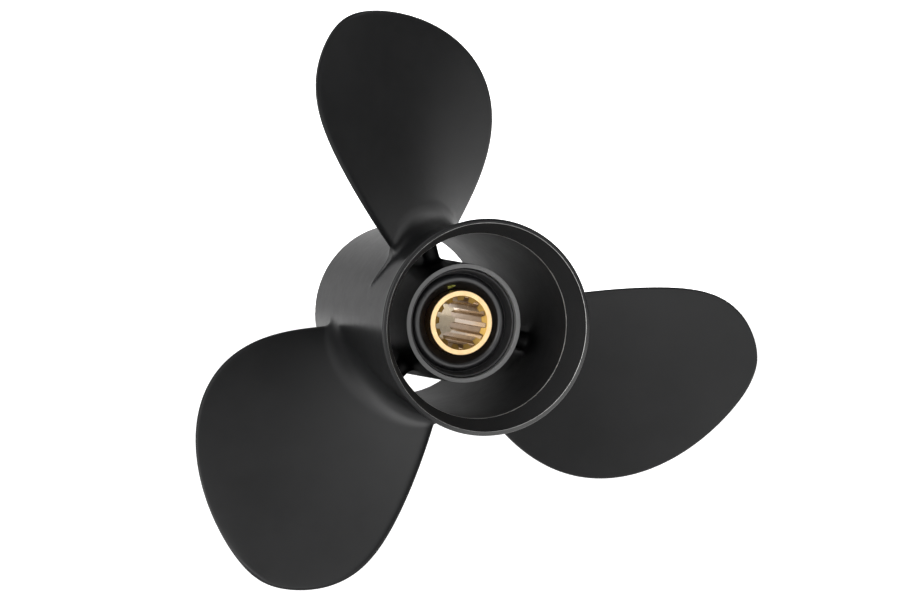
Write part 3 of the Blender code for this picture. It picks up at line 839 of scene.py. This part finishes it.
# Offsets are from the edge that each is named for
brassFinish = {
    "face": (0.88, 0.63, 0.34), "faceWorn": (0.86, 0.61, 0.32),
    "stainNoise": (330, 5, 0.6), "stainRange": (0.35, 0.75),
    # the groove colour is partly polish and partly painted highlight; the flank colour is painted shade
    "groove": (1.0, 0.80, 0.62), "majorOffsets": (-0.35 * mm, -0.1 * mm),
    "land": (0.52, 0.38, 0.27), "minorOffsets": (0.08 * mm, 0.25 * mm), "flank": (0.42, 0.26, 0.06),
    "relief": (0.54, 0.42, 0.25), "reliefOffsets": (0.2 * mm, 1.2 * mm),
    "mouth": (0.74, 0.46, 0.12), "mouthOffsets": (-0.05 * mm, 0.15 * mm),
    "boreOffsets": (-0.1 * mm, 0.1 * mm),
    "dirt": (0.30, 0.18, 0.07), "dirtRange": (0.45, 0.75), "dirtStrength": 0.35,
    "streakStretch": (900, 25, 900), "streakNoise": (1.0, 4, 0.6), "streak": 0.22, "streakDepth": 0.04 * mm,
    "ringNoise": (5200, 2), "ring": 0.12, "ringDepth": 0.02 * mm,
    "roughness": 0.19, "roughnessSpread": 0.22, "mouthRoughness": 0.5,
    "grooveRoughness": 0.12, "polishOffsets": (0.0, 0.4 * mm),
}


def sleeveBrass():
    finish = brassFinish
    material, shader, node, wire = startMaterial("sleeveBrass")
    position, radius, distance = shaftPlace(node)
    stretched = node("Mapping", {"Vector": position, "Scale": finish["streakStretch"]}).outputs["Vector"]
    streaks = noise(node, stretched, *finish["streakNoise"])
    stains = noise(node, position, *finish["stainNoise"])
    rings = noise(node, node("CombineXYZ", {"X": radius}).outputs["Vector"], *finish["ringNoise"])
    tone = colourMix(node, spread(node, stains, *finish["stainRange"]), finish["face"], finish["faceWorn"])
    # inside, the lands have gone dull; the flanks are painted darkest as painted shade, and the broached
    # grooves are painted bright, partly their polish and partly a painted highlight
    groove = risePast(node, radius, sleeve["major"], finish["majorOffsets"])
    land = fallPast(node, radius, sleeve["minor"], finish["minorOffsets"])
    inner = colourMix(node, groove, finish["flank"], finish["groove"])
    inner = colourMix(node, land, inner, finish["land"])
    beyond = risePast(node, distance, sleeve["splineEnd"], finish["reliefOffsets"])
    inner = colourMix(node, beyond, inner, finish["relief"])
    dirt = times(node, spread(node, streaks, *finish["dirtRange"]), finish["dirtStrength"])
    inner = colourMix(node, dirt, inner, finish["dirt"])
    # the mouth's cone, with the teeth's cut ends, is a dull gold
    cone = fallPast(node, distance, sleeve["aft"] + sleeve["mouthDepth"], finish["mouthOffsets"])
    inner = colourMix(node, cone, inner, finish["mouth"])
    inBore = fallPast(node, radius, sleeve["mouth"], finish["boreOffsets"])
    wire(colourMix(node, inBore, tone, inner), "Base Color")
    rough = scaledOnto(node, stains, finish["roughnessSpread"], finish["roughness"])
    ahead = fallPast(node, distance, sleeve["splineEnd"], finish["polishOffsets"])
    polish = times(node, inBore, times(node, ahead, groove))
    rough = valueMix(node, polish, rough, finish["grooveRoughness"])
    rough = valueMix(node, times(node, inBore, cone), rough, finish["mouthRoughness"])
    wire(rough, "Roughness")
    shader.inputs["Metallic"].default_value = 1.0
    turned = node("Bump", {"Height": rings, "Strength": finish["ring"], "Distance": finish["ringDepth"]})
    broached = node("Bump", {
        "Height": streaks, "Strength": finish["streak"], "Distance": finish["streakDepth"],
        "Normal": turned.outputs["Normal"],
    })
    wire(broached.outputs["Normal"], "Normal")
    return material


dabFinish = {
    "yellow": (0.85, 0.86, 0.22), "green": (0.26, 0.31, 0.03),
    "mottleNoise": (900, 4), "mottleRange": (0.35, 0.65), "mottle": 0.3, "mottleDepth": 0.05 * mm,
    "roughness": (0.35, 0.6), "roughnessRange": (0.2, 0.8),
}


def markerPaint():
    finish = dabFinish
    material, _shader, node, wire = startMaterial("markerPaint")
    mottle = noise(node, node("TexCoord").outputs["Object"], *finish["mottleNoise"])
    tone = colourMix(node, spread(node, mottle, *finish["mottleRange"]), finish["yellow"], finish["green"])
    wire(tone, "Base Color")
    wire(spread(node, mottle, *finish["roughnessRange"], *finish["roughness"]), "Roughness")
    bump = node("Bump", {"Height": mottle, "Strength": finish["mottle"], "Distance": finish["mottleDepth"]})
    wire(bump.outputs["Normal"], "Normal")
    return material


def dress(piece, material, slotName, *nodes):
    piece.data.materials.clear()
    piece.data.materials.append(material)
    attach(piece, "root")
    if nodes:
        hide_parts(*nodes)


# Each light is azimuth from +Y towards +X and elevation, in degrees; then a glow has how tight it is and a
# softbox its half width in degrees; then its strength. A floor shade is where the floor's own glow sinks:
# its centre, the distances where it is lowest and whole again, and its lowest share
studio = {
    "floorDrop": 110 * mm, "radius": 4.2, "wallTop": 3.4, "steps": 96,
    "white": (0.93, 0.93, 0.93), "fibreNoise": (6, 4), "fibreRange": (0.3, 0.7), "fibreShade": 0.99,
    "roughness": 0.95, "shine": 0.1, "floorGlow": 0.6, "wallGlow": 1.0,
    "glows": [
        (18, 2, 6, 1.2), (-60, 5, 12, 0.25), (-95, 8, 12, 1.0), (-122, 6, 14, 2.2), (-150, 5, 16, 0.8),
        (162.8, -1, 60, 2.4), (138, 4, 16, 0.85), (-115, 38, 12, 1.8), (-160, 42, 12, 0.45),
        (-115, 72, 10, 1.1),
    ],
    "softboxes": [
        (66, 14, 18, 0.3), (58, 32, 12, 0.7), (85, 22, 14, 0.55), (-95, 4, 14, 1.2),
        (-120, 14, 16, 1.75), (-145, 8, 16, 1.1), (-17, 3, 9, 0.3), (104, 38, 14, 1.5),
    ],
    "boxEdge": 4,
    "floorShades": [((-0.12, -0.1), 0.06, 0.34, 0.0), ((2.4, 0.0), 1.0, 2.4, 0.25)],
}


# Matt white with a glow of its own, and with shades in it where any are given
def backdropWhite(name, glow, shades, height):
    material, shader, node, wire = startMaterial(name)
    position = node("TexCoord").outputs["Object"]
    fibre = spread(node, noise(node, position, *studio["fibreNoise"]), *studio["fibreRange"])
    shaded = tuple(value * studio["fibreShade"] for value in studio["white"])
    wire(colourMix(node, fibre, shaded, studio["white"]), "Base Color")
    shader.inputs["Roughness"].default_value = studio["roughness"]
    shader.inputs["Specular IOR Level"].default_value = studio["shine"]
    shader.inputs["Emission Color"].default_value = (1, 1, 1, 1)
    shader.inputs["Emission Strength"].default_value = glow
    lit = glow
    for centre, lowest, whole, share in shades:
        out = node("VectorMath", {0: position, 1: (*centre, height)}, operation="DISTANCE").outputs["Value"]
        lit = times(node, spread(node, out, lowest, whole, share, 1.0), lit)
    if shades:
        wire(lit, "Emission Strength")
    return material


# Round sheet or band from rings of (radius, height)
def stageObject(name, rings, material, closed):
    form = bmesh.new()
    angles = [turn * step / studio["steps"] for step in range(studio["steps"])]
    circle = [(math.cos(angle), math.sin(angle)) for angle in angles]
    loops = [[form.verts.new((radius * x, radius * y, height)) for x, y in circle]
             for radius, height in rings]
    if closed:
        form.faces.new(loops[0])
    for lower, upper in zip(loops, loops[1:]):
        for step in range(studio["steps"]):
            follow = (step + 1) % studio["steps"]
            form.faces.new((lower[follow], lower[step], upper[step], upper[follow]))
    mesh = bpy.data.meshes.new(name)
    form.to_mesh(mesh)
    form.free()
    mesh.materials.append(material)
    piece = bpy.data.objects.new(name, mesh)
    bpy.context.scene.collection.objects.link(piece)
    return piece


# A pale floor, and a white wall all round that only the camera sees
def makeStage():
    radius = studio["radius"]
    floor = cadLow.z - studio["floorDrop"]
    top = floor + studio["wallTop"]
    floorWhite = backdropWhite("floorWhite", studio["floorGlow"], studio["floorShades"], floor)
    stageObject("studioFloor", [(radius, floor)], floorWhite, True)
    wallWhite = backdropWhite("wallWhite", studio["wallGlow"], [], floor)
    wall = stageObject("studioWall", [(radius, floor), (radius, top)], wallWhite, False)
    for kind in ("diffuse", "glossy", "transmission", "shadow"):
        setattr(wall, "visible_" + kind, False)


# Soft light from all the glows and softboxes, as the world's brightness in each direction
def makeLight():
    world = bpy.data.worlds.new("studioLight")
    world.use_nodes = True
    tree = world.node_tree
    sky = tree.nodes["Background"]
    direction = tree.nodes.new("ShaderNodeTexCoord").outputs["Generated"]

    def worldMath(operation, first, second):
        step = tree.nodes.new("ShaderNodeMath")
        step.operation = operation
        tree.links.new(first, step.inputs[0])
        if isinstance(second, bpy.types.NodeSocket):
            tree.links.new(second, step.inputs[1])
        else:
            step.inputs[1].default_value = second
        return step.outputs["Value"]

    def towards(azimuth, elevation):
        turned, raised = math.radians(azimuth), math.radians(elevation)
        flat = math.cos(raised)
        facing = tree.nodes.new("ShaderNodeVectorMath")
        facing.operation = "DOT_PRODUCT"
        tree.links.new(direction, facing.inputs[0])
        aim = (math.sin(turned) * flat, math.cos(turned) * flat, math.sin(raised))
        facing.inputs[1].default_value = aim
        return worldMath("MAXIMUM", facing.outputs["Value"], 0)

    lights = []
    for azimuth, elevation, tightness, strength in studio["glows"]:
        glow = worldMath("POWER", towards(azimuth, elevation), tightness)
        lights.append(worldMath("MULTIPLY", glow, strength))
    for azimuth, elevation, halfWidth, strength in studio["softboxes"]:
        box = tree.nodes.new("ShaderNodeMapRange")
        box.interpolation_type = "SMOOTHSTEP"
        tree.links.new(towards(azimuth, elevation), box.inputs["Value"])
        box.inputs["From Min"].default_value = math.cos(math.radians(halfWidth + studio["boxEdge"]))
        box.inputs["From Max"].default_value = math.cos(math.radians(halfWidth - studio["boxEdge"]))
        box.inputs["To Max"].default_value = strength
        lights.append(box.outputs["Result"])
    total = lights[0]
    for light in lights[1:]:
        total = worldMath("ADD", total, light)
    tree.links.new(total, sky.inputs["Strength"])
    sky.inputs["Color"].default_value = (1, 1, 1, 1)
    bpy.context.scene.world = world
    bpy.context.scene.view_settings.view_transform = "Standard"


cameraView = {
    "azimuth": math.radians(-17.2285), "elevation": math.radians(2.8723), "lens": 140.45,
    "sensorWidth": 36, "nearest": 0.02, "location": (-0.4599, -1.5548, 0.0869),
}


def makeCamera():
    lens = bpy.data.cameras.new("photoCamera")
    lens.lens = cameraView["lens"]
    lens.sensor_width = cameraView["sensorWidth"]
    lens.clip_start = cameraView["nearest"]
    camera = bpy.data.objects.new("photoCamera", lens)
    bpy.context.scene.collection.objects.link(camera)
    side, rise = cameraView["azimuth"], cameraView["elevation"]
    look = Vector((-math.sin(side) * math.cos(rise), math.cos(side) * math.cos(rise), -math.sin(rise)))
    camera.rotation_mode = "QUATERNION"
    camera.rotation_quaternion = look.to_track_quat("-Z", "Y")
    camera.location = cameraView["location"]
    bpy.context.scene.camera = camera


makeCamera()
print("camera set")
makeStage()
makeLight()
print("studio built")
dress(makeCasting(), satinPaint(), "black_paint", "propeller_casting")
print("casting dressed")
dress(makeBush(), bushRubber(), "rubber", "rubber_bush")
print("bush dressed")
dress(makeSleeve(), sleeveBrass(), "brass", "spline_sleeve")
print("sleeve dressed")
dress(makeDab(), markerPaint(), "rubber")
print("marker dab dressed")
